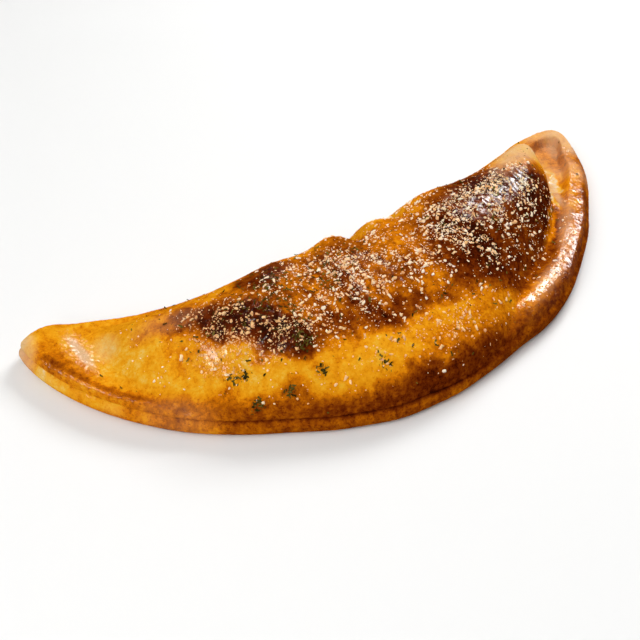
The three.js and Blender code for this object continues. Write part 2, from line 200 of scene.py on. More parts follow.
# Ranges in which a value fades in, from 0 at the first number to 1 at the second.
FADE = {
    # The form, along x.
    "groove": (-30, 45), "groove_tip": (150, 176), "roll": (-10, 60), "rim": (30, 86),
    "crease": (62, 112), "dimple": (138, 168), "rim_back": (118, 150), "rim_lower": (130, 175),
    "flap": (-105, -140), "flap_back": (-150, -172), "ridge": (-177, -166),
    "ridge_end": (-148, -112), "fold_lift": (-125, -85), "fold_foot": (-90, -20),
    "right_back": (40, 100), "swell_left": (-158, -80), "dome_left": (-156, -120),
    "dome_middle": (-130, -70), "dome_right": (-20, 60),
    # The form, along the half length, and from the rim to the crown.
    "bow_begins": (-0.97, -0.48), "bow_ends": (0.25, 1), "sides_meet": (0.35, 1),
    # Browning, with its painted shade and painted highlights: by reach, by the rim's own reach, by
    # height, along x, and by unevenness.
    "front": (15, 30), "past_rim": (0.35, 1.1), "above_side": (9.4, 10.8), "cream_and_highlight_up": (4.5, 7.5),
    "lip_right": (-112, -84), "seam_shade": (40, 0), "seam_left": (-150, -100),
    "past_ridge": (-142, -126), "lip_dip": (-0.6, 0.2), "lip_pale": (-0.05, 0.4),
    # Flour and painted sheen: by height, along x, and by unevenness.
    "above_flour": (7.5, 10.5), "flour_right": (-150, -100), "flour": (-0.2, 0.6),
    # Oil: along x, by inset, by height, and by unevenness.
    "oily_rim": (40, 62), "oily_tip": (138, 154), "oil_past_ridge": (-144, -138),
    "oil_in": (11, 14.5), "oil_out": (1.5, 4.5), "oil_up": (8.5, 11), "drops": (-0.45, 0.15),
    # Toppings: by height, and by unevenness.
    "cheese_up": (15, 22), "herbs_up": (13, 18), "cheese": (-0.3, 0.4), "herbs": (0, 0.5),
    # Relief: by height, by how toasted the dough is, and by unevenness.
    "relief_up": (1, 14), "lump": (0.2, 0.6), "lively": (0.35, 0.75),
}

# Bumps along a value: where they lie and how wide they are.
BUMPS = {
    "slim_rim": (104, 32), "swell_right": (88, 40), "soft_blend": (75, 30), "lip_dip": (-72, 17),
    "seam_shade": (10, 1), "shadow_inside_ridge": (6.5, 2),
}

# Unevenness: the size of its patches, its seed, and how far its values go either side of 0.
UNEVEN = {
    "stretch_marks": (11, 51, 1), "shift_x": (13, 1, 7), "shift_reach": (13, 5, 7),
    "rim": (9, 9, 0.35), "lip": (16, 13, 0.1), "lip_dip": (14, 61, 1), "lip_pale": (13, 15, 1),
    "lip_cream_and_highlight": (11, 37, 2), "streaks": (9, 71, 1), "speckles": (7, 17, 1),
    "fine_speckles": (3, 21, 1), "broad": (14, 27, 1), "floury_lip": (17, 61, 1),
    "flour": (5, 65, 0.4), "drops": (4, 83, 1), "cheese": (8, 31, 1), "herbs": (11, 37, 1),
}
OCTAVES = [(1, 1), (2.3, 0.5), (5, 0.3)]  # its layers: how much finer each is, and how strong
PATCH_GRID = (61, 67)  # random values that the patches repeat
PATCH_START = 1000  # puts every place on the positive side of the grid

# Bubbles: size and seed of the patches where they rise, and how many rise elsewhere.
LIVELY = (16, 41)
CALM = {"off_lumps": 0.25, "between_patches": 0.3}

# The side's profile, inset from the outline and height, where the two layers of dough are sealed
# and where the dough is only folded over.
SEALED_SIDE = [(7, 0), (3.2, 0.5), (1, 2.2), (0, 4.6), (0.5, 7), (1.9, 8.7), (3.1, 9.8),
               (2.5, 10.9), (SIDE_INSET, 12)]
FOLDED_SIDE = [(7, 0), (3.4, 0.5), (1.5, 2.2), (0.5, 4.8), (0.1, 7.2), (0.1, 9), (0.5, 10),
               (1.2, 11), (SIDE_INSET, 12)]
STEPS_UNDER = 4  # rows of the underside
STEPS_SIDE = 18  # rows of the side
RIM_DENSITY = 1.15  # above 1 the rows of the top crowd towards the rim

# Blisters and dents: x, reach, half length, half width, turn in degrees, height.
BLISTERS = [
    (72, 55, 46, 30, 0, 3), (-78, 74, 30, 22, 12, 3.5), (-110, 46, 30, 13, 18, 3.4),
    (-62, 98, 14, 9, 10, 3.5), (-90, 86, 14, 8, 10, 1.5), (-34, 66, 9, 26, 8, -2.5),
    (-4, 66, 7, 30, 10, -1.6), (9, 70, 7, 26, 12, 1.2), (27, 64, 8, 30, 6, -1.8),
    (14, 92, 34, 10, 10, 2), (-40, 36, 18, 14, 0, 2.5), (-11, 34, 9, 13, 0, 4.5),
    (6, 30, 5.5, 18, 0, -8.5), (18, 32, 7, 12, 0, 1.5), (31, 32, 5, 13, 0, -3.5),
    (52, 30, 16, 13, 0, 4), (80, 26, 20, 13, 0, 5), (118, 50, 12, 20, -12, 2),
    (135, 53, 18, 2.4, 112, 3),
]

# Fine folds on the baked top, written the same way, and where its skin is stretched: ovals with
# the softness of the edge and how much.
FINE_FOLDS = [
    (-14, 78, 22, 1.7, 84, 1.1), (-22, 74, 23, 1.8, 87, 1.3), (-3, 80, 22, 1.8, 81, 1.2),
    (-34, 76, 24, 1.9, 86, 0.9), (7, 80, 20, 1.9, 90, 1), (16, 80, 20, 1.8, 94, 0.9),
    (-44, 77, 16, 1.8, 85, 0.9), (-50, 60, 16, 1.8, 70, 0.6), (89, 52, 15, 1.8, 86, 1.5),
    (95, 50, 11, 1.6, 76, 1.2), (83, 52, 9, 1.3, 96, 0.6), (102, 52, 10, 1.8, 74, 1.2),
    (60, 60, 16, 1.7, 70, 0.6), (-153, 31, 13, 1.8, 83, 1.5), (-156, 25, 8, 1.3, 78, 0.8),
    (-148, 40, 10, 1.6, 75, 0.6),
]
STRETCHED = [
    (-92, 86, 22, 15, 25, 0.5, 1.0), (-20, 70, 60, 34, 0, 0.4, 0.7), (70, 64, 44, 30, 0, 0.4, 0.8),
    (-130, 72, 16, 10, 30, 0.5, 0.6),
]
STRETCH = {"height": 0.45, "across": 3.4}  # height of its marks, and how much narrower they are


def lerp(a, b, share):
    """The value a share of the way from a to b."""
    return a + (b - a) * share


def smooth_between(low, high, v):
    """Rises smoothly from 0 to 1 as v goes from the first value to the second."""
    share = np.clip((v - low) / (high - low), 0, 1)
    return share * share * (3 - 2 * share)


def fade(name, v):
    """How far v has come through a named range, 0 to 1."""
    return smooth_between(*FADE[name], v)


def soft_min(a, b, band):
    """The smaller value, rounded where the two meet within a band."""
    h = np.maximum(band - np.abs(a - b), 0) / band
    return np.minimum(a, b) - h * h * band / 4


def soft_max(a, b, band):
    """The larger value, rounded where the two meet within a band."""
    return -soft_min(-a, -b, band)


def bump(v, middle, width):
    """A bump of height 1 at the middle."""
    return np.exp(-(((v - middle) / width) ** 2))


def oval(x, reach, middle_x, middle_reach, along, across, turn):
    """How far a place lies from an oval's middle, where its edge is at 1."""
    c, s = math.cos(math.radians(turn)), math.sin(math.radians(turn))
    dx, dr = x - middle_x, reach - middle_reach
    return np.hypot((dx * c + dr * s) / along, (dr * c - dx * s) / across)


def raised(folds, x, reach):
    """How far the blisters or folds raise a place together."""
    return sum(height * np.exp(-(oval(x, reach, *place) ** 2)) for *place, height in folds)


def tip_reach(u):
    return lerp(TIP_REACH["left"], TIP_REACH["right"], (u + 1) / 2)


def bulges_at(x, bulges):
    return sum(forward * bump(x, middle, width) for middle, width, forward in bulges)


def wander(u, edge):
    """How far an edge wanders from its curve at u, which is -1 at the left tip and 1 at the
    right."""
    count_a, shift_a, count_b, shift_b = EDGE_WAVES[edge]
    waves = EDGE_WANDER * np.sin(count_a * u + shift_a) * np.cos(count_b * u + shift_b)
    return waves * (1 - u * u)


class Dough:
    """The form of the calzone for its settings. An angle of 0 to 2 pi is a place round the edge,
    from the left tip along the sealed edge to the right tip and back along the fold."""

    def __init__(self, settings):
        self.half = settings.length / MM / 2
        self.sealed_most = settings.sealed_reach / MM
        self.bow = settings.fold_bow / MM
        self.side_height = settings.side_height / MM

    def sealed_reach(self, u):
        tip = tip_reach(u)
        curve = (self.sealed_most - tip) * np.maximum(1 - u * u, 0) ** SEALED_CURVE
        return tip + curve + bulges_at(self.half * u, SEALED_BULGES) + wander(u, "sealed")

    def folded_reach(self, u):
        corner = lerp(TIP_CORNER["left"], TIP_CORNER["right"], (u + 1) / 2)
        rounding = np.sqrt(np.maximum(1 - np.abs(u) ** TIP_SQUARENESS, 0))
        bow = self.bow * fade("bow_begins", u) * (1 - fade("bow_ends", u))
        bulge = bulges_at(self.half * u, FOLDED_BULGES)
        return tip_reach(u) - corner * rounding + bow + bulge + wander(u, "folded")

    def outline(self, angle):
        u = -np.cos(angle)
        reach = np.where(angle <= math.pi, self.sealed_reach(u), self.folded_reach(u))
        return self.half * u, reach

    def crown(self, angle):
        x = -CROWN_HALF * np.cos(angle)
        u = x / self.half
        return x, lerp(self.folded_reach(u), self.sealed_reach(u), CROWN_SHARE)

    def way_in(self, angle):
        """The length of the way in from the outline to the crown line."""
        edge, crown = self.outline(angle), self.crown(angle)
        return np.hypot(crown[0] - edge[0], crown[1] - edge[1])

    def place_in(self, angle, inset):
        """The place on that way, so far in from the outline."""
        edge, crown = self.outline(angle), self.crown(angle)
        share = inset / self.way_in(angle)
        return lerp(edge[0], crown[0], share), lerp(edge[1], crown[1], share)

    def traits(self, angle):
        """How the edge is formed at a place round it."""
        x, _ = self.outline(angle)
        sealed = angle <= math.pi
        rim_back = fade("rim_back", x)
        roll = np.where(sealed, fade("roll", x), rim_back)
        rim = np.where(sealed, fade("rim", x), rim_back)
        crease = np.where(sealed, fade("crease", x), rim_back)
        dimple = crease * fade("dimple", x)
        flap = np.where(sealed, fade("flap", x), fade("flap_back", x))
        groove_tip = fade("groove_tip", np.abs(x)) * np.where(x > 0, GROOVE_RIGHT, 1)

        rolled = RIM["lift"] * roll * (1 - RIM["lower"] * fade("rim_lower", x))
        right_back = fade("right_back", x)
        fold_lift = np.where(sealed, 0, FOLD["lift"] * fade("fold_lift", x) + right_back)
        fold_foot = FOLD["foot"] - FOLD["narrower"] * fade("fold_foot", x)
        fold_foot = fold_foot + FOLD["wider"] * right_back
        slim = RIM["slimmer"] * np.where(sealed, bump(x, *BUMPS["slim_rim"]), 0)
        sealed_foot = (RIM["width"] - slim) * rim + FLAP["foot"] * flap
        gentle_right = np.where(sealed, SWELL["right"] * bump(x, *BUMPS["swell_right"]), 0)
        gentle_left = SWELL["left"] * (1 - fade("swell_left", x))
        narrower = FLAP["narrower"] * flap + DIMPLE["narrower"] * dimple
        return {
            "lean": crease,
            "seal": np.where(sealed, 1 - fade("groove", x), groove_tip),
            "ridge": np.where(sealed, fade("ridge", x) * (1 - fade("ridge_end", x)), 0),
            "lift": np.maximum(rolled + FLAP["lift"] * flap, fold_lift),
            "drop": RIM["crease"] * crease + DIMPLE["depth"] * dimple + FLAP["hollow"] * flap,
            "shoulder": SHOULDER - narrower + RIM["wider"] * roll - slim,
            "foot": SIDE_INSET + np.where(sealed, sealed_foot, fold_foot),
            "blend": BLEND["least"] + BLEND["more"] * bump(x, *BUMPS["soft_blend"]),
            "swell": SWELL["least"] + gentle_right + gentle_left,
        }

    def crown_rise(self, x):
        """How high the crown stands over the side."""
        heights = [self.side_height, *DOME_HEIGHT.values()]
        return sum(
            (high - low) * fade(f"dome_{name}", x)
            for name, low, high in zip(DOME_HEIGHT, heights, heights[1:])
        )

    def dome_rise(self, x, reach, inset, way, traits):
        """How far the dome has risen at a place, 0 to 1."""
        start, end = DOME_LEFT_END, DOME_RIGHT_END
        from_foot = (inset - traits["foot"]) / np.maximum(way - traits["foot"], 1)
        from_left = (x - start["x"]) / start["run"]
        from_right = (end["x"] - x + end["aslant"] * (end["reach"] - reach)) / end["run"]
        closeness = soft_min(from_foot, from_left, start["blend"])
        closeness = soft_min(closeness, from_right, end["blend"])
        return (1 - (1 - np.clip(closeness, 0, 1)) ** 2) ** traits["swell"]

    def top_height(self, angle, inset):
        """The height of the top over the table, before its two sides are joined."""
        x, reach = self.place_in(angle, inset)
        way, traits = self.way_in(angle), self.traits(angle)
        from_rim = inset - SIDE_INSET
        run = traits["shoulder"] - SIDE_INSET
        roundness = np.sqrt(1 - (np.maximum(run - from_rim, 0) / run) ** 2)
        steep = np.clip(from_rim / (RIBBON_START * run), 0, 1)
        ribbon = (1 - RIM_LEAN) * np.sqrt(1 - (1 - steep) ** 2)
        ribbon += RIM_LEAN * np.clip(from_rim / run, 0, 1)
        roundness = lerp(roundness, ribbon, traits["lean"])
        hollow = traits["drop"] * smooth_between(0, RIM["hollow"], inset - traits["shoulder"])
        ridge = RIDGE["height"] * traits["ridge"] * bump(inset, RIDGE["inset"], RIDGE["width"])
        rim = traits["lift"] * roundness - hollow + ridge

        rise = self.dome_rise(x, reach, inset, way, traits)
        band = np.minimum(traits["blend"], BLEND["most"] * from_rim) + TINY
        form = soft_max(rim, self.crown_rise(x) * rise, band)
        marks = ragged(x * STRETCH["across"], reach, "stretch_marks")
        baked = raised(BLISTERS, x, reach) + raised(FINE_FOLDS, x, reach)
        baked = baked + STRETCH["height"] * covered(STRETCHED, x, reach) * marks
        a, b, c, d = WAVES["lengths"]
        wave = np.sin(x / a + reach / b) + np.sin(x / c - reach / d + WAVES["shift"])
        uneven = WAVES["height"] * wave * np.minimum(from_rim / WAVES["run"], 1)
        return self.side_height + form + baked * np.minimum(BAKED_GAIN * rise, 1) + uneven

    def top(self, angle, share):
        """x, reach, height and inset of the top, share 0 at the rim and 1 at the crown."""
        opposite = 2 * math.pi - angle
        inset = lerp(SIDE_INSET, self.way_in(angle), share)
        own = self.top_height(angle, self.way_in(angle))
        mean = (own + self.top_height(opposite, self.way_in(opposite))) / 2
        height = self.top_height(angle, inset) + (mean - own) * fade("sides_meet", share)
        return *self.place_in(angle, inset), height, inset

    def side(self, angle, share):
        """The same for the side, share 0 at its foot and 1 at the rim."""
        seal = self.traits(angle)["seal"]
        sealed, folded = profile_at(SEALED_SIDE, share), profile_at(FOLDED_SIDE, share)
        inset = lerp(folded[0], sealed[0], seal)
        height = lerp(folded[1], sealed[1], seal)
        return *self.place_in(angle, inset), height, inset

    def under(self, angle, share):
        """The same for the underside, share 0 in its middle and 1 at the side's foot."""
        inset = lerp(self.way_in(angle), SEALED_SIDE[0][0], share)
        return *self.place_in(angle, inset), np.zeros_like(angle), inset


def profile_at(points, share):
    """A smooth curve through the points of a side's profile, at a share of the way along it."""
    p = np.array(points, float)
    p = np.vstack([2 * p[0] - p[1], p, 2 * p[-1] - p[-2]])
    along = np.clip(share, 0, 1) * (len(points) - 1)
    i = np.minimum(along.astype(int), len(points) - 2)
    t = (along - i)[..., None]
    a, b, c, d = p[i], p[i + 1], p[i + 2], p[i + 3]
    cubic = (3 * b - a - 3 * c + d) * t**3 + (2 * a - 5 * b + 4 * c - d) * t**2
    curve = (cubic + (c - a) * t) / 2 + b
    return curve[..., 0], curve[..., 1]


def patchiness(x, reach, size, seed):
    """Smooth uneven values from 0 to 1, in patches of about the size in millimetres."""
    values = np.random.default_rng(seed).random(PATCH_GRID)
    columns, rows = PATCH_GRID
    across, along = x / size + PATCH_START, reach / size + PATCH_START
    i, j = np.floor(across).astype(int), np.floor(along).astype(int)
    s, t = smooth_between(0, 1, across - i), smooth_between(0, 1, along - j)
    near, far = (
        lerp(values[i % columns, k % rows], values[(i + 1) % columns, k % rows], s)
        for k in (j, j + 1)
    )
    return lerp(near, far, t)


# ------------------------------------------------------------------ browning with painted shade and highlights, oil and toppings

# Browning runs from 0, pale dough, to 1, nearly black. It also holds painted light: some paler
# rows are painted highlights, and some darker bands are painted shade.
# BASE is the golden front. The patches are ovals: x, reach, half length, half width, turn in
# degrees, softness of the edge, how much.
BASE = 0.335
TOASTED = [
    (-26, 76, 46, 36, 0, 0.35, 0.38),  # the orange-brown middle
    (-30, 98, 26, 10, 5, 0.5, 0.22), (-18, 108, 12, 9, 20, 0.4, 0.3),
    (-34, 24, 26, 8, 0, 0.5, 0.4),  # behind it
    (-57, 47, 20, 12, -10, 0.35, 0.5), (0, 22, 10, 9, 0, 0.5, 0.45),
    (-24, 72, 20, 3, 87, 0.5, 0.28),  # streaks along its folds
    (-4, 74, 18, 3, 81, 0.5, 0.28), (-44, 77, 14, 3, 85, 0.5, 0.25), (14, 80, 16, 3, 92, 0.5, 0.2),
    (6, 48, 22, 9, 0, 0.5, 0.22), (14, 107, 8, 5, 0, 0.5, 0.3),
    (42, 86, 18, 20, 0, 0.45, 0.5),  # the dark front of the right lump
    (44, 100, 26, 12, -2, 0.5, 0.5), (-4, 104, 14, 7, 0, 0.5, 0.35),
    (73, 62, 46, 29, -6, 0.42, 0.66),  # the right lump
    (92, 52, 20, 16, 0, 0.5, 0.35), (94, 80, 10, 12, -40, 0.5, 0.25),
    (84, 86, 28, 9, -14, 0.5, 0.36), (106, 64, 14, 12, -30, 0.4, 0.4),
    (66, 102, 28, 9, -14, 0.6, 0.36), (90, 99, 20, 7, -36, 0.5, 0.36),
    (120, 76, 34, 11, -48, 0.6, 0.26),
    (113, 73, 18, 6, -54, 0.5, 0.64),  # the groove in front of it
    (78, 20, 46, 12, 0, 0.4, 0.6),  # its back
    (-112, 53, 20, 6, 24, 0.45, 0.34),  # the left lump
    (-92, 74, 36, 20, 44, 0.6, 0.06), (-87, 69, 23, 13, 44, 0.45, 0.68),
    (-66, 60, 16, 12, 0, 0.5, 0.26), (-113, 68, 12, 14, -30, 0.7, 0.12),
    (-105, 34, 32, 14, 0, 0.7, 0.12), (-78, 82, 24, 12, 48, 0.45, 0.5),
    (-68, 95, 14, 10, 30, 0.35, 0.5), (-61, 102, 9, 6, 5, 0.5, 0.4),
    (-76, 117, 7, 4, 20, 0.6, 0.5),  # blisters in front
    (-60, 116, 4, 4, 0, 0.6, 0.3), (-97, 98, 6, 3, 25, 0.6, 0.3), (32, 124, 50, 9, -8, 0.7, 0.18),
    (-169, 30, 10, 26, -18, 0.6, 0.2),  # the left tip
    (164, 12, 8, 12, -40, 0.6, 0.12), (156, 22, 9, 20, 0, 0.5, 0.26),
]
PALE_AND_HIGHLIT = [
    (-142, 36, 7, 9, 0, 0.7, 0.3), (-130, 56, 18, 26, -24, 0.7, 0.27),
    (-98, 99, 34, 8, 36, 0.6, 0.18), (-40, 116, 50, 8, 8, 0.7, 0.14),
    (-178, 10, 8, 14, 0, 0.6, 0.5), (154, 26, 9, 20, -10, 0.6, 0.06),
    # Painted highlights: the glint along the edge of the fold and the golden glint along the
    # groove beside the right lump are both painted as pale dough.
    (138, 47, 19, 2.2, 112, 0.4, 0.9),  # the edge of the fold
    (111, 77, 18, 3.5, -47, 0.5, 0.5),  # the groove beside the right lump
    (120, 31, 34, 12, -33, 0.4, 0.38),  # the tongue of dough behind the right lump
]

# Browning along the rim of the top, how far in it reaches, and the browning of the sealed side
# under it: x, value. In front and on the right, both are partly real browning and partly painted
# shade where the side turns down and away from the light.
RIM_BROWN_AND_SHADE = [(-180, 0.3), (-165, 0.4), (-148, 0.44), (-120, 0.54), (-89, 0.63), (-50, 0.74),
             (-15, 0.78), (70, 0.68), (110, 0.7), (150, 0.7), (175, 0.56)]
RIM_REACH = [(-180, 4), (-150, 10), (-120, 17), (-95, 10), (-55, 8), (-28, 13), (-10, 14),
             (60, 12), (120, 10), (170, 8)]
LIP_BROWN_AND_SHADE = [(-180, 0.08), (-165, 0.39), (-130, 0.46), (-107, 0.58), (-64, 0.69), (-20, 0.62),
             (20, 0.6), (60, 0.7), (120, 0.7), (165, 0.5), (180, 0.35)]
BACK_BROWN = 0.42
LEAST_BROWN = 0.02

# How much paler the stretches along the upper edge of the lip are, left of the middle: x, value.
# They are partly paler dough and partly painted highlights on the lip's top.
LIP_CREAM_AND_HIGHLIGHT = [(-176, 0), (-172, 0.1), (-167, 0.13), (-164, 0), (-160, 0.15), (-150, 0.15),
             (-145, 0.02), (-141, 0.1), (-135, 0.06), (-128, 0)]
LIP = {"dip": 0.16, "paler": 0.13, "browner": 0.05, "uneven_to": 40}

# What is added to the browning by each feature. The seam's darkening is painted shade in its
# groove, and the band above the ridge is a painted shadow on the ridge's inner side. Streaks are
# squeezed along x to run inwards, and the side is less speckled than the top.
MORE_BROWN = {"seam_shade": 0.16, "shadow_inside_ridge": 0.14, "streaks": 0.2, "speckles": 0.065, "broad": 0.06}
SQUEEZE = 3
CALMER_SIDE = 0.6

# Where the browning breaks up into streaks that run towards the edge: ovals, softness, how much.
STREAKED = [
    (-96, 86, 26, 12, 38, 0.5, 1), (-20, 82, 50, 34, 0, 0.5, 0.9), (66, 84, 40, 16, -10, 0.5, 0.7),
]


def along_x(x, points):
    return np.interp(x, *zip(*points))


def covered(patches, x, reach):
    """How much the patches cover a place together, 0 to 1."""
    clear = 1
    for *place, softness, amount in patches:
        inside = 1 - smooth_between(1 - softness, 1 + softness, oval(x, reach, *place))
        clear = clear * (1 - amount * inside)
    return 1 - clear


def ragged(x, reach, name):
    """A named unevenness: values either side of 0, in patches with smaller ones on them."""
    size, seed, amount = UNEVEN[name]
    layers = sum(
        strength * patchiness(x, reach, size / finer, seed + i)
        for i, (finer, strength) in enumerate(OCTAVES)
    )
    middle = sum(strength for _, strength in OCTAVES) / 2
    return amount * (layers / middle - 1)


def browning(x, reach, height, inset):
    """How brown the dough is at each place. This includes painted shade in the seam's groove,
    inside the ridge and on the lower sides, and painted highlights as paler stretches.
    """
    x_there = x + ragged(x, reach, "shift_x")
    reach_there = reach + ragged(x, reach, "shift_reach")
    brown = BASE + (1 - BASE) * covered(TOASTED, x_there, reach_there)
    brown *= 1 - covered(PALE_AND_HIGHLIT, x_there, reach_there)

    front = fade("front", reach)
    rim_reach = along_x(x, RIM_REACH) * (1 + ragged(x, reach, "rim"))
    rim = (1 - fade("past_rim", inset / rim_reach)) * front
    brown = lerp(brown, np.maximum(brown, along_x(x, RIM_BROWN_AND_SHADE)), rim)

    side = 1 - fade("above_side", height)
    left = 1 - fade("lip_right", x)
    dip = bump(x, *BUMPS["lip_dip"]) * fade("lip_dip", ragged(x, reach, "lip_dip"))
    lip = along_x(x, LIP_BROWN_AND_SHADE) - ragged(x, reach, "lip") * (x < LIP["uneven_to"])
    lip -= LIP["dip"] * dip
    # Paler patches on the left of the lip, and the cream stretches on its upper edge, are partly
    # paler dough and partly painted highlights.
    lip -= LIP["paler"] * left * fade("lip_pale", ragged(x, reach, "lip_pale"))
    lip -= along_x(x, LIP_CREAM_AND_HIGHLIGHT) * fade("cream_and_highlight_up", height + ragged(x, reach, "lip_cream_and_highlight"))
    lip += LIP["browner"] * left
    brown = lerp(brown, lerp(BACK_BROWN, lip, front), side)

    # Painted shade in the groove of the seam.
    seam_shade = bump(height, *BUMPS["seam_shade"]) * fade("seam_shade", x) * front
    brown += MORE_BROWN["seam_shade"] * seam_shade * fade("seam_left", x)
    # A painted shadow: a browner band on the inner side of the ridge.
    shadow_inside_ridge = bump(inset, *BUMPS["shadow_inside_ridge"]) * (1 - fade("past_ridge", x))
    brown += MORE_BROWN["shadow_inside_ridge"] * shadow_inside_ridge * front
    streaks = covered(STREAKED, x, reach) * ragged(SQUEEZE * x, reach, "streaks")
    brown += MORE_BROWN["streaks"] * streaks
    speckles = ragged(x, reach, "speckles") + ragged(x, reach, "fine_speckles")
    brown += MORE_BROWN["speckles"] * (1 - CALMER_SIDE * side) * speckles
    brown += MORE_BROWN["broad"] * (1 - side) * ragged(x, reach, "broad")
    return np.clip(brown, LEAST_BROWN, 1)


# Skin that kept some flour on it, or stayed dull, and painted sheen. The pale pink patches stand
# in for the glints on the left crease, the edge of the fold and the rim, and for the soft
# reflections on the tongue, the right tip and the
# left flank: ovals, softness, how much.
FLOUR_AND_SHEEN = [
    (-180, 8, 8, 14, 0, 0.5, 0.6), (-153, 31, 2.6, 13, -7, 0.5, 0.75),
    (-142, 36, 6, 8, 0, 0.7, 0.25), (-113, 50, 16, 6, 18, 0.6, 0.09),
    (-128, 92, 16, 6, 38, 0.6, 0.07), (121, 31, 30, 10, -33, 0.45, 0.55),
    (84, 111, 20, 4, -28, 0.6, 0.3), (120, 80, 24, 4, -48, 0.6, 0.3),
    (138, 47, 19, 2.2, 112, 0.4, 0.6), (155, 22, 9, 20, 0, 0.5, 0.2),
    (170, 14, 9, 14, 0, 0.5, 0.6), (160, 44, 8, 22, -40, 0.6, 0.2), (168, 0, 16, 6, 0, 0.6, 0.4),
]
LIP_FLOUR = 0.1
BACK_REACH = 5  # nothing nearer the back than this has floury sides


def flour_and_painted_sheen(x, reach, height):
    """How much flour and painted sheen pale the skin at each place, 0 to 1."""
    flour = covered(FLOUR_AND_SHEEN, x, reach)
    low = (1 - fade("above_flour", height)) * (reach > BACK_REACH)
    lip = low * (1 - fade("flour_right", x))
    flour = np.maximum(flour, LIP_FLOUR * lip * fade("flour", ragged(x, reach, "floury_lip")))
    return np.clip(flour * (1 + ragged(x, reach, "flour")), 0, 1)


# Where the oil stayed on the skin and shines: ovals, softness, how much.
OILY = [
    (84, 57, 29, 15, -8, 0.4, 0.95), (136, 50, 20, 6, 112, 0.5, 0.9),
    (-153, 32, 6, 16, -7, 0.5, 1), (-126, 94, 26, 5, 38, 0.5, 0.25), (-72, 97, 9, 7, 20, 0.5, 0.5),
    (-95, 70, 26, 14, 40, 0.6, 0.5), (-49, 50, 8, 8, 0, 0.6, 0.8), (-22, 68, 18, 4, 87, 0.5, 0.6),
    (-4, 74, 16, 4, 81, 0.5, 0.6), (-37, 24, 6, 6, 0, 0.6, 0.6), (-98, 88, 18, 6, 40, 0.6, 0.8),
]

OIL_BETWEEN_DROPS = 0.25
OIL_LESS_AT_TIP = 0.6
OIL_FRONT = {"rim": 20, "ridge": 24}  # the reach from which they are oily


def oiliness(x, reach, height, inset):
    """How thickly the oil lies at each place, 0 to 1."""
    oil = covered(OILY, x, reach)
    rim = fade("oily_rim", x) * (1 - fade("oil_in", inset)) * (reach > OIL_FRONT["rim"])
    rim *= fade("oil_out", inset) * (1 - OIL_LESS_AT_TIP * fade("oily_tip", x))
    oil = np.maximum(oil, rim * fade("oil_up", height))
    oil = oil * lerp(OIL_BETWEEN_DROPS, 1, fade("drops", ragged(x, reach, "drops")))
    ridge = bump(inset, RIDGE["inset"], RIDGE["oiled"]) * (1 - fade("oil_past_ridge", x))
    return np.clip(np.maximum(oil, ridge * (reach > OIL_FRONT["ridge"])), 0, 1)


# Heaps of cheese: ovals, softness, how thick.
CHEESE_HEAPS = [
    (70, 66, 36, 16, -4, 0.5, 0.95), (88, 57, 22, 12, -10, 0.5, 0.5),
    # The heap at x -94, reach 88 strews cheese where the streaks below the left lump glint, so its
    # pale crumbs are partly painted glints.
    (-94, 88, 14, 7, 40, 0.6, 0.45), (38, 56, 12, 14, 0, 0.6, 0.6), (38, 84, 20, 16, 0, 0.6, 0.5),
    (-32, 76, 34, 26, 0, 0.5, 0.54), (-8, 82, 20, 22, 0, 0.6, 0.35),
    (14, 80, 14, 26, 0, 0.6, 0.35), (-84, 76, 26, 15, 42, 0.6, 0.55),
    (-68, 95, 12, 9, 10, 0.5, 0.5), (25, 30, 60, 14, 0, 0.6, 0.22), (70, 92, 34, 9, -14, 0.6, 0.2),
    (-10, 116, 60, 12, 0, 0.7, 0.12),
    (-17, 78, 20, 3.5, 86, 0.5, 0.7),  # in the folds of the middle
    (3, 82, 18, 3, 84, 0.5, 0.5), (-38, 82, 14, 3, 86, 0.5, 0.4), (10, 121, 24, 9, -8, 0.6, 0.35),
    (6, 50, 26, 10, 0, 0.6, 0.25), (96, 98, 50, 9, -46, 0.7, 0.14),
    (-130, 75, 10, 5, 30, 0.6, 0.12),
]
TOASTED_CHEESE = [  # where the oven browned the cheese too, and where it melted in
    (-86, 78, 34, 20, 42, 0.5, 0.9),
    (-5, 122, 90, 12, 0, 0.6, 0.85),
]
HERB_HEAPS = [
    (-68, 66, 22, 18, 20, 0.7, 0.95), (-36, 62, 26, 16, 0, 0.7, 0.6),
    (-62, 96, 6, 12, 0, 0.7, 0.9), (70, 62, 36, 20, 0, 0.7, 0.3), (-20, 104, 60, 24, 0, 0.7, 0.12),
    (-110, 74, 22, 24, 0, 0.7, 0.1),
]
HERB_CLUSTERS = [
    (-60, 116, 2.5, 2.5, 0, 0.4, 1), (-77, 116, 3, 2, 20, 0.4, 1), (-96, 98, 6, 2, 25, 0.5, 1),
    (-93, 112, 3, 2, 20, 0.5, 1), (-62, 101, 4, 4, 0, 0.5, 0.7), (-31, 126, 2, 5, 0, 0.5, 0.4),
]
CLUSTER_THICKNESS = 3  # how thick the herbs lie in a cluster, against a heap
STREWN_EVERYWHERE = 0.012  # what falls beside the heaps
BETWEEN_CLUMPS = 0.2  # how thick a heap lies between its clumps


def heaped(heaps, x, reach, name):
    """How thickly a topping lies in its heaps, which break up into clumps."""
    clumps = fade(name, ragged(x, reach, name))
    return covered(heaps, x, reach) * lerp(BETWEEN_CLUMPS, 1, clumps)


def cheese_cover(x, reach, height):
    """How thickly the cheese lies at each place, 0 to 1."""
    cover = heaped(CHEESE_HEAPS, x, reach, "cheese")
    return (STREWN_EVERYWHERE + cover) * fade("cheese_up", height)


def herb_cover(x, reach, height):
    """How thickly the herbs lie at each place, against a heap."""
    cover = heaped(HERB_HEAPS, x, reach, "herbs")
    cover = cover + CLUSTER_THICKNESS * covered(HERB_CLUSTERS, x, reach)
    return (STREWN_EVERYWHERE + cover) * fade("herbs_up", height)


# ------------------------------------------------------------------ making meshes

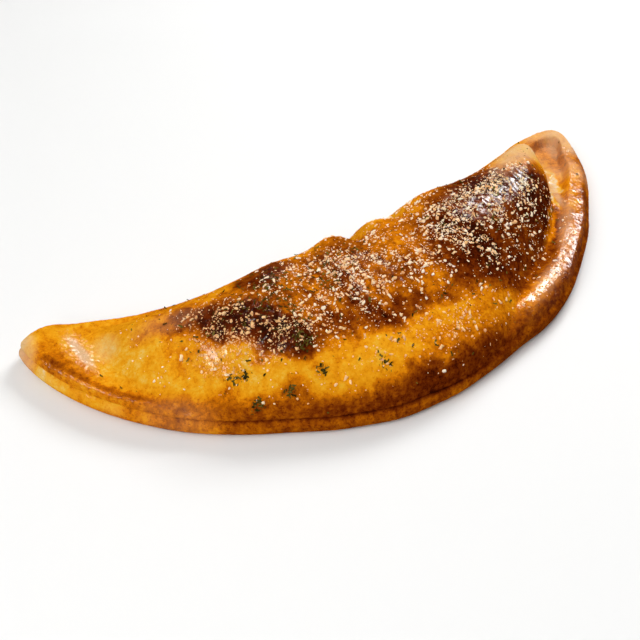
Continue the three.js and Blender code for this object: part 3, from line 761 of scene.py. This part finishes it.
WELD = 0.02 * MM  # points nearer than this are one
MASK_STEPS = 64


def deselect_all():
    """Deselects everything, so that the next primitive is the only thing worked on."""
    bpy.ops.object.select_all(action="DESELECT")


def name_piece(name):
    piece = bpy.context.object
    piece.name = piece.data.name = name
    return piece


def store(mesh, name, values):
    """Keeps one number for each vertex in the mesh."""
    attribute = mesh.attributes.new(name, "FLOAT", "POINT")
    attribute.data.foreach_set("value", np.asarray(values, np.float32))


def stored(mesh, name):
    values = np.empty(len(mesh.vertices), np.float32)
    mesh.attributes[name].data.foreach_get("value", values)
    return values.astype(float)


def places_of(mesh):
    places = np.empty(3 * len(mesh.vertices), np.float32)
    mesh.vertices.foreach_get("co", places)
    return places.reshape(-1, 3).astype(float)


def rolled_out_sheet(settings):
    """A flat sheet of dough with a row for each ring of the crust and a column for each step
    round it. The two long edges meet at the left tip."""
    rows = STEPS_UNDER + STEPS_SIDE + settings.steps_in
    deselect_all()
    bpy.ops.mesh.primitive_grid_add(
        x_subdivisions=settings.steps_round, y_subdivisions=rows, size=1
    )
    return name_piece("crust"), rows


def fold_sheet(sheet, rows, settings):
    """Lays the sheet's rows round the crescent: the underside, the side, and the top."""
    dough = Dough(settings)
    flat = places_of(sheet.data)
    angle = (flat[:, 0] + 0.5) * 2 * math.pi
    row = (flat[:, 1] + 0.5) * rows
    under = dough.under(angle, np.clip(row / STEPS_UNDER, 0, 1))
    side = dough.side(angle, np.clip((row - STEPS_UNDER) / STEPS_SIDE, 0, 1))
    share = np.clip((row - STEPS_UNDER - STEPS_SIDE) / settings.steps_in, 0, 1) ** RIM_DENSITY
    top = dough.top(angle, share)
    on_side = row > STEPS_UNDER - 0.5
    on_top = row > STEPS_UNDER + STEPS_SIDE - 0.5
    x, reach, height, inset = (
        np.where(on_top, t, np.where(on_side, s, u)) for u, s, t in zip(under, side, top)
    )
    store(sheet.data, "reach", reach)
    store(sheet.data, "inset", inset)
    middle = (NODE_LOW + NODE_HIGH) / 2
    y = (reach.min() + reach.max()) / 2 - reach
    folded = np.column_stack([x * MM + middle.x, y * MM + middle.y, height * MM + NODE_LOW.z])
    sheet.data.vertices.foreach_set("co", folded.astype(np.float32).ravel())
    sheet.data.update()


def seal_edges():
    """Joins the sheet's edges where they meet, so that the crust is closed."""
    bpy.ops.object.mode_set(mode="EDIT")
    bpy.ops.mesh.select_all(action="SELECT")
    bpy.ops.mesh.remove_doubles(threshold=WELD)
    bpy.ops.mesh.normals_make_consistent(inside=False)
    bpy.ops.object.mode_set(mode="OBJECT")


def mask(piece, name, weights):
    """A vertex group with these weights, in equal steps."""
    group = piece.vertex_groups.new(name=name)
    levels = np.round(np.clip(weights, 0, 1) * MASK_STEPS).astype(int)
    for level in range(1, MASK_STEPS + 1):
        group.add(np.flatnonzero(levels == level).tolist(), level / MASK_STEPS, "REPLACE")


def raise_relief(piece, group, size, height, depth):
    """Raises an uneven relief where the group lies, with bumps of about the given size."""
    texture = bpy.data.textures.new(f"{group}_relief", "CLOUDS")
    texture.noise_scale = size
    texture.noise_depth = depth
    bpy.ops.object.modifier_add(type="DISPLACE")
    relief = piece.modifiers[-1]
    relief.texture = texture
    relief.texture_coords = "LOCAL"
    relief.strength = height
    relief.mid_level = 0.5
    relief.vertex_group = group
    bpy.ops.object.modifier_apply(modifier=relief.name)
    bpy.data.textures.remove(texture)


def bake_relief(crust, settings):
    """Bubbles and grain that the oven gives the dough. The underside stays flat."""
    mesh = crust.data
    x, _, height = places_of(mesh).T / MM
    reach = stored(mesh, "reach")
    top = fade("relief_up", height)
    lump = lerp(CALM["off_lumps"], 1, fade("lump", covered(TOASTED, x, reach)))
    lively = fade("lively", patchiness(x, reach, *LIVELY))
    lively = lerp(CALM["between_patches"], 1, lively)
    # Each relief: its name, where it shows, size of its bumps, height, and depth of its noise.
    for group, weights, size, relief, depth in (
        ("waves", 0.6 * top, 11 * MM, 1.0 * MM, 1),
        ("bubbles", top * lump * lively, 3.6 * MM, settings.bubble_height, 1),
        ("grain", top, 1.7 * MM, 0.34 * MM, 0),
    ):
        mask(crust, group, weights)
        raise_relief(crust, group, size, relief, depth)


def paint_browning_and_light(crust):
    """Stores how brown, how floury and how oily the dough is, for its material. The browning holds
    painted shade and highlights, and the flour holds painted sheen.
    """
    mesh = crust.data
    x, _, height = places_of(mesh).T / MM
    reach, inset = stored(mesh, "reach"), stored(mesh, "inset")
    store(mesh, "browning", browning(x, reach, height, inset))
    store(mesh, "flour", flour_and_painted_sheen(x, reach, height))
    store(mesh, "oil", oiliness(x, reach, height, inset))


# ------------------------------------------------------------------ strewing

TILT = 0.3  # how far small pieces lean at random
LEAF_THICKNESS = 0.07  # of a flake that is 1 long
LEAF_CURLS = (0.2, 0.5, 0.8, -0.4, 1.1)


def facets_of(mesh):
    """Corners of the mesh's triangles, and their areas and normals."""
    mesh.calc_loop_triangles()
    corners = np.empty(3 * len(mesh.loop_triangles), np.int32)
    mesh.loop_triangles.foreach_get("vertices", corners)
    corners = corners.reshape(-1, 3)
    a, b, c = (places_of(mesh)[corners[:, i]] for i in range(3))
    across = np.cross(b - a, c - a)
    length = np.linalg.norm(across, axis=1)
    return corners, length / 2, across / np.maximum(length, 1e-12)[:, None]


def strewn_places(crust, cover, count, rng):
    """Places on the crust, as many as the count, thick where the cover is thick, with the reach
    and the normal at each."""
    mesh = crust.data
    corners, areas, normals = facets_of(mesh)
    points = places_of(mesh)
    reach = stored(mesh, "reach")[corners].mean(axis=1)
    middles = points[corners].mean(axis=1) / MM
    weights = areas * cover(middles[:, 0], reach, middles[:, 2])
    chosen = rng.choice(len(corners), size=count, p=weights / weights.sum())
    s, t = rng.random(count), rng.random(count)
    s, t = np.where(s + t > 1, (1 - s, 1 - t), (s, t))
    a, b, c = (points[corners[chosen, i]] for i in range(3))
    places = a + (b - a) * s[:, None] + (c - a) * t[:, None]
    return places, reach[chosen], normals[chosen]


def turns_onto(normals, rng):
    """Rotations that stand a piece on the surface, spun at random and tilted a little."""
    leaning = normals + TILT * rng.normal(size=normals.shape)
    up = leaning / np.linalg.norm(leaning, axis=1)[:, None]
    side = np.cross(up, rng.normal(size=up.shape))
    side /= np.linalg.norm(side, axis=1)[:, None]
    return np.stack([side, np.cross(up, side), up], axis=2)


def strewn_copies(models, places, turns, sizes, rng, tones):
    """For each model, the points, faces and random tones of its copies at some of the places."""
    kinds = rng.integers(len(models), size=len(places))
    tones = rng.random(len(places)) * tones
    copies = []
    for kind, (points, polygons) in enumerate(models):
        here = np.flatnonzero(kinds == kind)
        scaled = points[None] * sizes[here][:, None]
        turned = np.einsum("nij,nvj->nvi", turns[here], scaled) + places[here][:, None]
        starts = len(points) * np.arange(len(here))
        faces = (polygons[None] + starts[:, None, None]).reshape(-1, polygons.shape[1])
        copies.append((turned.reshape(-1, 3), faces, np.repeat(tones[here], len(points))))
    return copies


def joined_piece(name, copies):
    """One object that holds all the copies."""
    vertices, faces, tone, first = [], [], [], 0
    for points, polygons, tones in copies:
        vertices.append(points)
        faces.extend((polygons + first).tolist())
        tone.append(tones)
        first += len(points)
    mesh = bpy.data.meshes.new(name)
    mesh.from_pydata(np.vstack(vertices).tolist(), [], faces)
    mesh.update()
    store(mesh, "tone", np.concatenate(tone))
    piece = bpy.data.objects.new(name, mesh)
    bpy.context.scene.collection.objects.link(piece)
    return piece


def take_model():
    """The points and triangles of the active object, which is then deleted."""
    mesh = bpy.context.object.data
    points, corners = places_of(mesh), facets_of(mesh)[0]
    bpy.ops.object.delete()
    bpy.data.meshes.remove(mesh)
    return points, corners


def make_uneven(seed, offset, evenness, size=None, cuts=0):
    """Cuts and narrows the new primitive, then pushes its corners about."""
    bpy.ops.object.mode_set(mode="EDIT")
    bpy.ops.mesh.select_all(action="SELECT")
    if cuts:
        bpy.ops.mesh.subdivide(number_cuts=cuts)
    if size:
        bpy.ops.transform.resize(value=size)
    bpy.ops.transform.vertex_random(offset=offset, uniform=evenness, seed=seed)
    bpy.ops.object.mode_set(mode="OBJECT")


def crumb_model(seed):
    """One crumb of grated cheese, 1 across: a small ball, pushed about until it is uneven."""
    deselect_all()
    bpy.ops.mesh.primitive_ico_sphere_add(subdivisions=1, radius=0.5)
    make_uneven(seed, offset=0.22, evenness=0.6)
    return take_model()


def speck_model(seed):
    """One speck of cheese dust, 1 across: an uneven eight-sided grain."""
    deselect_all()
    bpy.ops.mesh.primitive_uv_sphere_add(segments=4, ring_count=2, radius=0.5)
    make_uneven(seed, offset=0.22, evenness=0.5)
    return take_model()


def shred_model(seed):
    """One short shred of cheese, 1 long: a thin bar with four uneven sides, pinched and bent."""
    deselect_all()
    bpy.ops.mesh.primitive_cube_add(size=1)
    make_uneven(seed, offset=0.16, evenness=0.5, size=(1, 0.5, 0.42), cuts=1)
    return take_model()


def flake_model(seed, curl):
    """One flake of dried leaf, 1 long: a ragged piece of blade, curled and a little thick."""
    deselect_all()
    bpy.ops.mesh.primitive_grid_add(x_subdivisions=3, y_subdivisions=2, size=1)
    make_uneven(seed, offset=0.13, evenness=0.3, size=(1, 0.38, 1))
    flake = bpy.context.object
    for vertex in flake.data.vertices:
        vertex.co.z += curl * (vertex.co.x**2 + vertex.co.y**2)
    bpy.ops.object.modifier_add(type="SOLIDIFY")
    flake.modifiers[-1].thickness = LEAF_THICKNESS
    bpy.ops.object.modifier_apply(modifier=flake.modifiers[-1].name)
    return take_model()


# ------------------------------------------------------------------ materials


def add_node(tree, kind, inputs=None, stops=None, **settings):
    """Adds a node with its settings, its input values or links, and its colour stops."""
    node = tree.nodes.new(kind)
    for setting, value in settings.items():
        setattr(node, setting, value)
    for name, value in (inputs or {}).items():
        if isinstance(value, bpy.types.NodeSocket):
            tree.links.new(value, node.inputs[name])
        else:
            node.inputs[name].default_value = value
    if stops:
        elements = node.color_ramp.elements
        while len(elements) > 1:
            elements.remove(elements[0])
        elements[0].position, elements[0].color = stops[0][0], (*stops[0][1], 1)
        for position, colour in stops[1:]:
            elements.new(position).color = (*colour, 1)
    return node


def new_material(name):
    material = bpy.data.materials.new(name)
    material.use_nodes = True
    material.node_tree.nodes.clear()
    return material, material.node_tree


# Patterns of the baked skin: size in mm, detail and roughness. Mottling and toasted flecks lie in
# its colour, grain in its surface, beads and smears in the film of oil. The grain and the pits
# are drawn somewhat coarser than they are, so that they show.
SKIN_PATTERNS = {
    "mottling": (3.2, 4.0, 0.62), "flecks": (1.3, 2.0, 0.7), "grain": (0.9, 3.0, 0.6),
    "beads": (2.6, 2.0, 0.5), "smears": (14, 3.0, 0.5),
}
PIT_SPACING = 1.6 * MM

# The range taken from a pattern, and the range it is turned into. Smears become roughness.
SKIN_RANGES = {
    "mottling": (0.35, 0.65, -0.08, 0.08), "flecks": (0.52, 0.72, 0.0, 0.13),
    "smears": (0.35, 0.65, 0.42, 0.6), "pits": (0.0, 0.35, 0.0, 1.0),
}

# The skin's bumps, and those of the film of oil, which runs smoother over it: the pattern, how
# deep the pits are against it, and the height.
SKIN_BUMPS = {"skin": ("grain", 0.5, 0.4 * MM), "film": ("beads", 1.3, 0.34 * MM)}

# Colours between those of the settings, by how brown the dough is.
BROWNING_COLOURS = {
    0.1: "#e3b85c",
    0.22: "#e5a727",
    0.31: "#e39816",
    0.47: "#cd7308",
    0.58: "#a65606",
    0.8: "#5f2103",
    0.9: "#3f1102",
}
GOLDEN_AT, BROWN_AT = 0.38, 0.7
# The pale pink of flour, which also paints sheen and glints.
FLOUR_AND_SHEEN_COLOUR = "#dbb58d"


def baked_dough_material(settings):
    """Wheat dough, brushed with oil and baked: golden to dark brown, with a fine leathery grain,
    tiny pits and a soft oily gloss."""
    material, tree = new_material("baked_wheat_dough")
    place = add_node(tree, "ShaderNodeTexCoord").outputs["Object"]
    brown, flour, oil = (
        add_node(tree, "ShaderNodeAttribute", attribute_name=name).outputs["Fac"]
        for name in ("browning", "flour", "oil")
    )
    pattern = {}
    for name, (size, detail, roughness) in SKIN_PATTERNS.items():
        inputs = {"Vector": place, "Scale": 1 / (size * MM), "Detail": detail}
        inputs["Roughness"] = roughness
        pattern[name] = add_node(tree, "ShaderNodeTexNoise", inputs).outputs["Fac"]
    inputs = {"Vector": place, "Scale": 1 / PIT_SPACING}
    pits = add_node(tree, "ShaderNodeTexVoronoi", inputs, feature="F1")
    pattern["pits"] = pits.outputs["Distance"]
    ranged = {}
    for name, limits in SKIN_RANGES.items():
        inputs = dict(zip(("From Min", "From Max", "To Min", "To Max"), limits))
        inputs["Value"] = pattern[name]
        ranged[name] = add_node(tree, "ShaderNodeMapRange", inputs).outputs["Result"]

    # Mottling and toasted flecks darken the browning here and there.
    for name in ("mottling", "flecks"):
        inputs = {0: brown, 1: ranged[name]}
        brown = add_node(tree, "ShaderNodeMath", inputs, operation="ADD").outputs[0]
    stops = {at: linear(colour) for at, colour in BROWNING_COLOURS.items()}
    stops |= {0.0: settings.pale, GOLDEN_AT: settings.golden}
    stops |= {BROWN_AT: settings.brown, 1.0: settings.charred}
    colour = add_node(tree, "ShaderNodeValToRGB", {"Fac": brown}, stops=sorted(stops.items()))
    # Flour and painted sheen mix the skin's colour towards a pale pink.
    inputs = {0: flour, 6: colour.outputs["Color"], 7: (*linear(FLOUR_AND_SHEEN_COLOUR), 1)}
    skin = add_node(tree, "ShaderNodeMix", inputs, data_type="RGBA").outputs[2]

    bumps = {}
    for name, (over, pit_depth, height) in SKIN_BUMPS.items():
        inputs = {0: ranged["pits"], 1: pit_depth, 2: pattern[over]}
        relief = add_node(tree, "ShaderNodeMath", inputs, operation="MULTIPLY_ADD")
        inputs = {"Height": relief.outputs[0], "Strength": 1.0, "Distance": height}
        bumps[name] = add_node(tree, "ShaderNodeBump", inputs).outputs["Normal"]

    inputs = {
        "Base Color": skin,
        "Roughness": ranged["smears"],
        "Normal": bumps["skin"],
        "Coat Normal": bumps["film"],
        "IOR": 1.46,
        "Specular IOR Level": 0.0,
        "Coat Weight": oil,
        "Coat Roughness": 0.06,
        "Subsurface Weight": 0.06,
        "Subsurface Radius": (3 * MM, 1.6 * MM, 0.8 * MM),
        "Subsurface Scale": 1.0,
    }
    shader = add_node(tree, "ShaderNodeBsdfPrincipled", inputs)
    add_node(tree, "ShaderNodeOutputMaterial", {"Surface": shader.outputs["BSDF"]})
    return material


def strewn_material(name, stops, finish):
    """The material of small pieces whose colour follows each one's tone."""
    material, tree = new_material(name)
    tone = add_node(tree, "ShaderNodeAttribute", attribute_name="tone").outputs["Fac"]
    colour = add_node(tree, "ShaderNodeValToRGB", {"Fac": tone}, stops=stops)
    inputs = {"Base Color": colour.outputs["Color"], "Specular IOR Level": 0.0, **finish}
    shader = add_node(tree, "ShaderNodeBsdfPrincipled", inputs)
    add_node(tree, "ShaderNodeOutputMaterial", {"Surface": shader.outputs["BSDF"]})
    return material


def grated_cheese_material(settings):
    """Hard grated cheese: dry, pale and waxy, some crumbs yellower from the oven."""
    stops = [
        (0.0, linear("#dc9c68")),
        (0.2, linear("#f6c288")),
        (0.5, settings.colour),
        (1.0, linear("#ffeed6")),
    ]
    finish = {
        "Roughness": 0.7,
        "IOR": 1.45,
        "Subsurface Weight": 0.25,
        "Subsurface Radius": (1.2 * MM, 0.8 * MM, 0.4 * MM),
        "Subsurface Scale": 1.0,
    }
    return strewn_material("grated_hard_cheese", stops, finish)


def dried_herb_material(settings):
    """Dried oregano and parsley leaf: papery, dark olive to grey-green."""
    stops = [(0.0, linear("#2c260c")), (0.6, settings.colour), (1.0, linear("#6e6228"))]
    return strewn_material("dried_oregano_leaf", stops, {"Roughness": 0.8})


def plain_floor_material(settings):
    """Matt painted board, pale and even."""
    material, tree = new_material("matt_white_board")
    inputs = {"Base Color": (*settings.floor, 1), "Roughness": 0.9}
    shader = add_node(tree, "ShaderNodeBsdfPrincipled", inputs)
    add_node(tree, "ShaderNodeOutputMaterial", {"Surface": shader.outputs["BSDF"]})
    return material


# ------------------------------------------------------------------ operators

# Kinds of grated cheese: the model, how many different ones, the setting for the number of
# copies, and the length of the largest against the largest crumb.
CHEESE_KINDS = [
    (crumb_model, 6, "crumbs", 0.85),
    (shred_model, 6, "shreds", 0.95),
    (speck_model, 4, "dust", 0.46),
]

# The shortest and the longest against the setting, the exponent of their spread, above 1 for
# many small ones, width and thickness against length, and how far a middle stands off the crust.
CHEESE_SIZES = {"length": (0.32, 1.15), "exponent": 2.6, "across": [(0.6, 1), (0.45, 0.75)],
                "off": 0.04}
HERB_SIZES = {"length": (0.25, 1), "exponent": 1.6, "across": [1, 0.9], "off": 0.12}
TOASTED_TONE = 0.8  # how much darker the browned cheese is


def strew(models, cover, count, longest, sizes, rng, toasted=()):
    """Copies of the models, strewn over the crust where the cover is thick. Those in toasted
    patches are darker."""
    crust = bpy.data.objects["crust"]
    places, reach, normals = strewn_places(crust, cover, count, rng)
    tones = 1 - TOASTED_TONE * covered(toasted, places[:, 0] / MM, reach)
    length = longest * lerp(*sizes["length"], rng.random(count) ** sizes["exponent"])
    across = [
        rng.uniform(*width, count) if isinstance(width, tuple) else np.full(count, width)
        for width in sizes["across"]
    ]
    scale = length[:, None] * np.column_stack([np.ones(count), *across])
    turns = turns_onto(normals, rng)
    places = places + normals * (sizes["off"] * length)[:, None]
    return strewn_copies(models, places, turns, scale, rng, tones)


class CALZONE_OT_crust(bpy.types.Operator):
    """Roll out, fold, seal and bake the dough"""

    bl_idname = "calzone.crust"
    bl_label = "Crust"

    def execute(self, context):
        settings = context.scene.calzone_crust
        crust, rows = rolled_out_sheet(settings)
        fold_sheet(crust, rows, settings)
        seal_edges()
        bake_relief(crust, settings)
        paint_browning_and_light(crust)
        bpy.ops.object.shade_smooth()
        crust.data.materials.append(baked_dough_material(settings))
        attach(crust, "root")
        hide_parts(NODE)
        return {"FINISHED"}


class CALZONE_OT_cheese(bpy.types.Operator):
    """Strew the grated cheese over the crust"""

    bl_idname = "calzone.cheese"
    bl_label = "Grated cheese"

    def execute(self, context):
        settings = context.scene.calzone_cheese
        rng = np.random.default_rng(settings.seed)
        copies = []
        for model, kinds, number, size in CHEESE_KINDS:
            models = [model(seed) for seed in range(kinds)]
            count, longest = getattr(settings, number), settings.crumb_size * size
            copies += strew(
                models, cheese_cover, count, longest, CHEESE_SIZES, rng, TOASTED_CHEESE
            )
        cheese = joined_piece("grated_cheese", copies)
        cheese.data.shade_smooth()
        cheese.data.materials.append(grated_cheese_material(settings))
        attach(cheese, "root")
        return {"FINISHED"}


class CALZONE_OT_herbs(bpy.types.Operator):
    """Strew the dried herbs over the crust"""

    bl_idname = "calzone.herbs"
    bl_label = "Dried herbs"

    def execute(self, context):
        settings = context.scene.calzone_herbs
        rng = np.random.default_rng(settings.seed)
        models = [flake_model(seed, curl) for seed, curl in enumerate(LEAF_CURLS)]
        flakes = strew(
            models, herb_cover, settings.flakes, settings.flake_size, HERB_SIZES, rng
        )
        herbs = joined_piece("dried_herbs", flakes)
        herbs.data.materials.append(dried_herb_material(settings))
        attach(herbs, "root")
        return {"FINISHED"}


# The camera: the point it looks at, how far it stands from it, its direction and roll in degrees,
# and its lens and sensor in millimetres.
CAMERA_TARGET = (-0.0296, 0.0093, 0.0)
CAMERA_DISTANCE = 0.5706
CAMERA_AZIMUTH, CAMERA_ELEVATION = -29.01, 44.87
CAMERA_ROLL = -1.03
CAMERA_LENS = 59.24
SENSOR = 36.0

# Softboxes: azimuth and elevation in degrees, distance, width and height in metres. Azimuth 0 is
# in front of the sealed edge, 90 beyond the right tip and 180 behind the fold.
SOFTBOXES = {
    "key": (118, 40, 1.3, 0.6, 0.45),
    "fill": (-62, 45, 1.5, 1.1, 1.1),
    "top": (0, 90, 1.5, 1.8, 1.8),
}

# Softboxes that show only in the film of oil, written the same way, with their radiance.
GLEAMS = {
    "over_lump": (118, 50, 1.37, 0.46, 0.34, 20),
    "along_rim": (110, 39.5, 1.35, 0.54, 0.5, 16),
    "behind_tip": (168, 37, 1.27, 0.26, 0.24, 16),
    "behind_fold": (132, 39, 1.4, 0.24, 0.2, 14),
    "over_lobe": (-50, 69, 1.36, 0.3, 0.24, 12),
    "beside_tip": (-101, 39, 1.44, 0.44, 0.36, 14),
}


def direction(azimuth, elevation):
    """The way out from the middle, for an azimuth and an elevation in degrees."""
    azimuth, elevation = math.radians(azimuth), math.radians(elevation)
    level = math.cos(elevation)
    return Vector((math.sin(azimuth) * level, -math.cos(azimuth) * level, math.sin(elevation)))


def add_softbox(name, place, power):
    azimuth, elevation, distance, width, height = place
    away = direction(azimuth, elevation)
    bpy.ops.object.light_add(type="AREA", location=away * distance)
    softbox = bpy.context.object
    softbox.name = f"softbox_{name}"
    softbox.rotation_euler = away.to_track_quat("Z", "Y").to_euler()
    softbox.data.shape = "RECTANGLE"
    softbox.data.size, softbox.data.size_y = width, height
    softbox.data.energy = power
    return softbox


def add_camera():
    away = direction(CAMERA_AZIMUTH, CAMERA_ELEVATION)
    bpy.ops.object.camera_add()
    camera = bpy.context.object
    roll = Matrix.Rotation(math.radians(CAMERA_ROLL), 3, "Z")
    turn = (-away).to_track_quat("-Z", "Y").to_matrix() @ roll
    place = Vector(CAMERA_TARGET) + away * CAMERA_DISTANCE
    camera.matrix_world = Matrix.LocRotScale(place, turn, None)
    camera.data.lens = CAMERA_LENS
    camera.data.sensor_width = SENSOR
    return camera


class CALZONE_OT_stage(bpy.types.Operator):
    """Lay the floor, and set up the lights and the camera"""

    bl_idname = "calzone.stage"
    bl_label = "Stage"

    def execute(self, context):
        scene, settings = context.scene, context.scene.calzone_stage
        deselect_all()
        bpy.ops.mesh.primitive_plane_add(size=settings.floor_size)
        floor = name_piece("floor")
        floor.data.materials.append(plain_floor_material(settings))
        floor.visible_glossy = False

        for name, place in SOFTBOXES.items():
            softbox = add_softbox(name, place, getattr(settings, f"{name}_power"))
            softbox.visible_glossy = False
        for name, (*place, radiance) in GLEAMS.items():
            power = radiance * math.pi * place[3] * place[4]
            softbox = add_softbox(name, place, settings.gleam * power)
            softbox.visible_diffuse = False
        scene.world = bpy.data.worlds.new("studio")
        scene.world.use_nodes = True
        background = scene.world.node_tree.nodes["Background"]
        background.inputs["Color"].default_value = (1, 1, 1, 1)
        background.inputs["Strength"].default_value = settings.sky
        scene.view_settings.view_transform = "Standard"
        scene.camera = add_camera()
        return {"FINISHED"}


class CALZONE_PT_panel(bpy.types.Panel):
    """The steps of making the calzone"""

    bl_idname = "CALZONE_PT_panel"
    bl_label = "Calzone"
    bl_space_type = "VIEW_3D"
    bl_region_type = "UI"
    bl_category = "Calzone"

    def draw(self, context):
        for group, (_, operator) in STEPS.items():
            box = self.layout.box()
            settings = getattr(context.scene, group)
            for name in settings.bl_rna.properties.keys():
                if name not in ("rna_type", "name"):
                    box.prop(settings, name)
            box.operator(operator.bl_idname)


# The steps in order: where the scene keeps each one's settings, their class and its operator.
STEPS = {
    "calzone_crust": (CalzoneCrustSettings, CALZONE_OT_crust),
    "calzone_cheese": (CalzoneCheeseSettings, CALZONE_OT_cheese),
    "calzone_herbs": (CalzoneHerbSettings, CALZONE_OT_herbs),
    "calzone_stage": (CalzoneStageSettings, CALZONE_OT_stage),
}
CLASSES = [*(cls for step in STEPS.values() for cls in step), CALZONE_PT_panel]


def register():
    for cls in CLASSES:
        bpy.utils.register_class(cls)
    for name, (settings, _) in STEPS.items():
        setattr(bpy.types.Scene, name, bpy.props.PointerProperty(type=settings))


def unregister():
    for name in STEPS:
        delattr(bpy.types.Scene, name)
    for cls in reversed(CLASSES):
        bpy.utils.unregister_class(cls)


def main():
    register()
    bpy.ops.calzone.crust()
    bpy.ops.calzone.cheese()
    bpy.ops.calzone.herbs()
    bpy.ops.calzone.stage()


if __name__ == "__main__":
    main()
